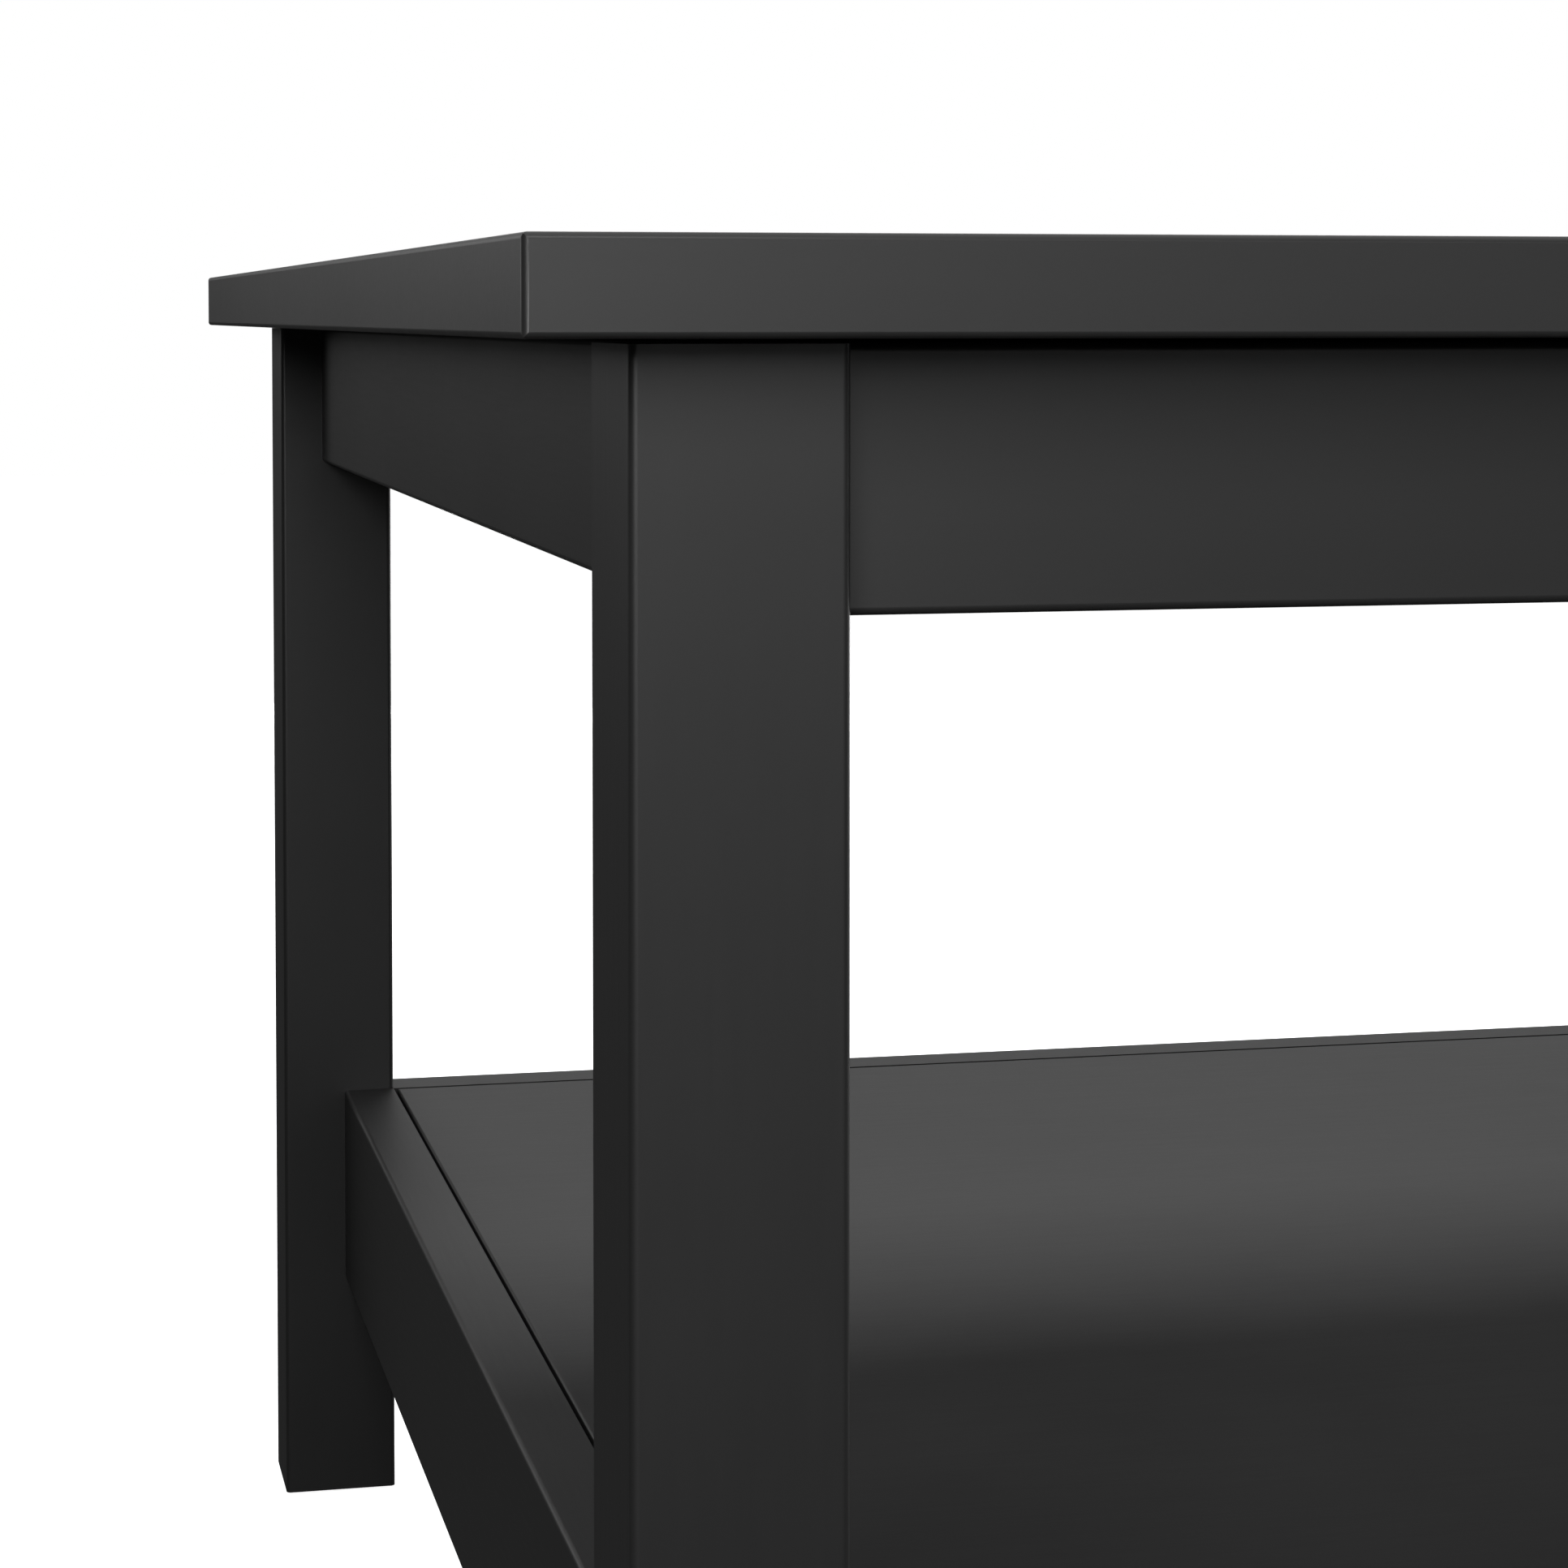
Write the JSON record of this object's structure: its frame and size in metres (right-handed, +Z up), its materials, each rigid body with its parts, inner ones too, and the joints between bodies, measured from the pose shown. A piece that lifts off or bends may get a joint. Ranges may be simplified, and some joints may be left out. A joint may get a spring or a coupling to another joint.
{
  "type": "lift top coffee table",
  "caption": "Square coffee table with four square legs and an open shelf; the top rises towards the user on parallel arms over a shallow storage box.",
  "frame": {"origin": "floor level, under the middle of the top", "axes": "+Z up, -Y towards the user, +X to the user's right"},
  "size_m": [0.8, 0.8, 0.45],
  "materials": {
    "lacquered_board": "satin charcoal-black lacquer on smooth board",
    "hardboard": "matt black hardboard",
    "beech": "raw beech",
    "zinc_steel": "zinc plated",
    "spring_steel": "bright drawn wire",
    "black_steel": "black powder coat",
    "felt": "charcoal felt",
    "glide_plastic": "grey nylon"
  },
  "bodies": {
    "root": {"leg_front_left": "lacquered_board", "leg_front_right": "lacquered_board", "leg_back_left": "lacquered_board", "leg_back_right": "lacquered_board", "apron_front": "lacquered_board", "apron_back": "lacquered_board", "apron_left": "lacquered_board", "apron_right": "lacquered_board", "shelf_rail_front": "lacquered_board", "shelf_rail_back": "lacquered_board", "shelf_rail_left": "lacquered_board", "shelf_rail_right": "lacquered_board", "shelf_panel": "lacquered_board", "storage_floor": "hardboard", "shelf_cleat_left": "lacquered_board", "shelf_cleat_right": "lacquered_board", "dowels": "beech", "cam_bolts": "zinc_steel", "cam_discs": "zinc_steel", "cleat_screws": "zinc_steel", "bumpers": "felt", "foot_glides": "glide_plastic", "base_plate_left": "black_steel", "base_plate_right": "black_steel", "base_pins_left": "zinc_steel", "base_pins_right": "zinc_steel", "base_screws_left": "zinc_steel", "base_screws_right": "zinc_steel", "spring_left": "spring_steel", "spring_right": "spring_steel"},
    "rear_arms": {"rear_arm_left": "black_steel", "rear_arm_right": "black_steel", "sync_bar": "black_steel"},
    "front_arm_left": {"front_arm_left": "black_steel"},
    "front_arm_right": {"front_arm_right": "black_steel"},
    "top": {"top_panel": "lacquered_board", "top_bracket_left": "black_steel", "top_bracket_right": "black_steel", "top_pins_left": "zinc_steel", "top_pins_right": "zinc_steel", "bracket_screws_left": "zinc_steel", "bracket_screws_right": "zinc_steel"}
  },
  "joints": [
    {"name": "lift", "type": "hinge", "parent": "root", "child": "rear_arms", "pos_m": [0, -0.035, 0.404], "axis": [1, 0, 0], "range_deg": [0, 100], "deforming": ["spring_left", "spring_right"]},
    {"name": "top_level", "type": "hinge", "parent": "rear_arms", "child": "top", "pos_m": [0, 0.15454, 0.41725], "axis": [1, 0, 0], "range_deg": [-100, 0]},
    {"name": "front_left_swing", "type": "hinge", "parent": "root", "child": "front_arm_left", "pos_m": [0, -0.105, 0.404], "axis": [1, 0, 0], "range_deg": [0, 100]},
    {"name": "front_right_swing", "type": "hinge", "parent": "root", "child": "front_arm_right", "pos_m": [0, -0.105, 0.404], "axis": [1, 0, 0], "range_deg": [0, 100]}
  ],
  "couplings": [
    {"joint": "top_level", "follows": "lift", "ratio": -1},
    {"joint": "front_left_swing", "follows": "lift", "ratio": 1},
    {"joint": "front_right_swing", "follows": "lift", "ratio": 1}
  ]
}
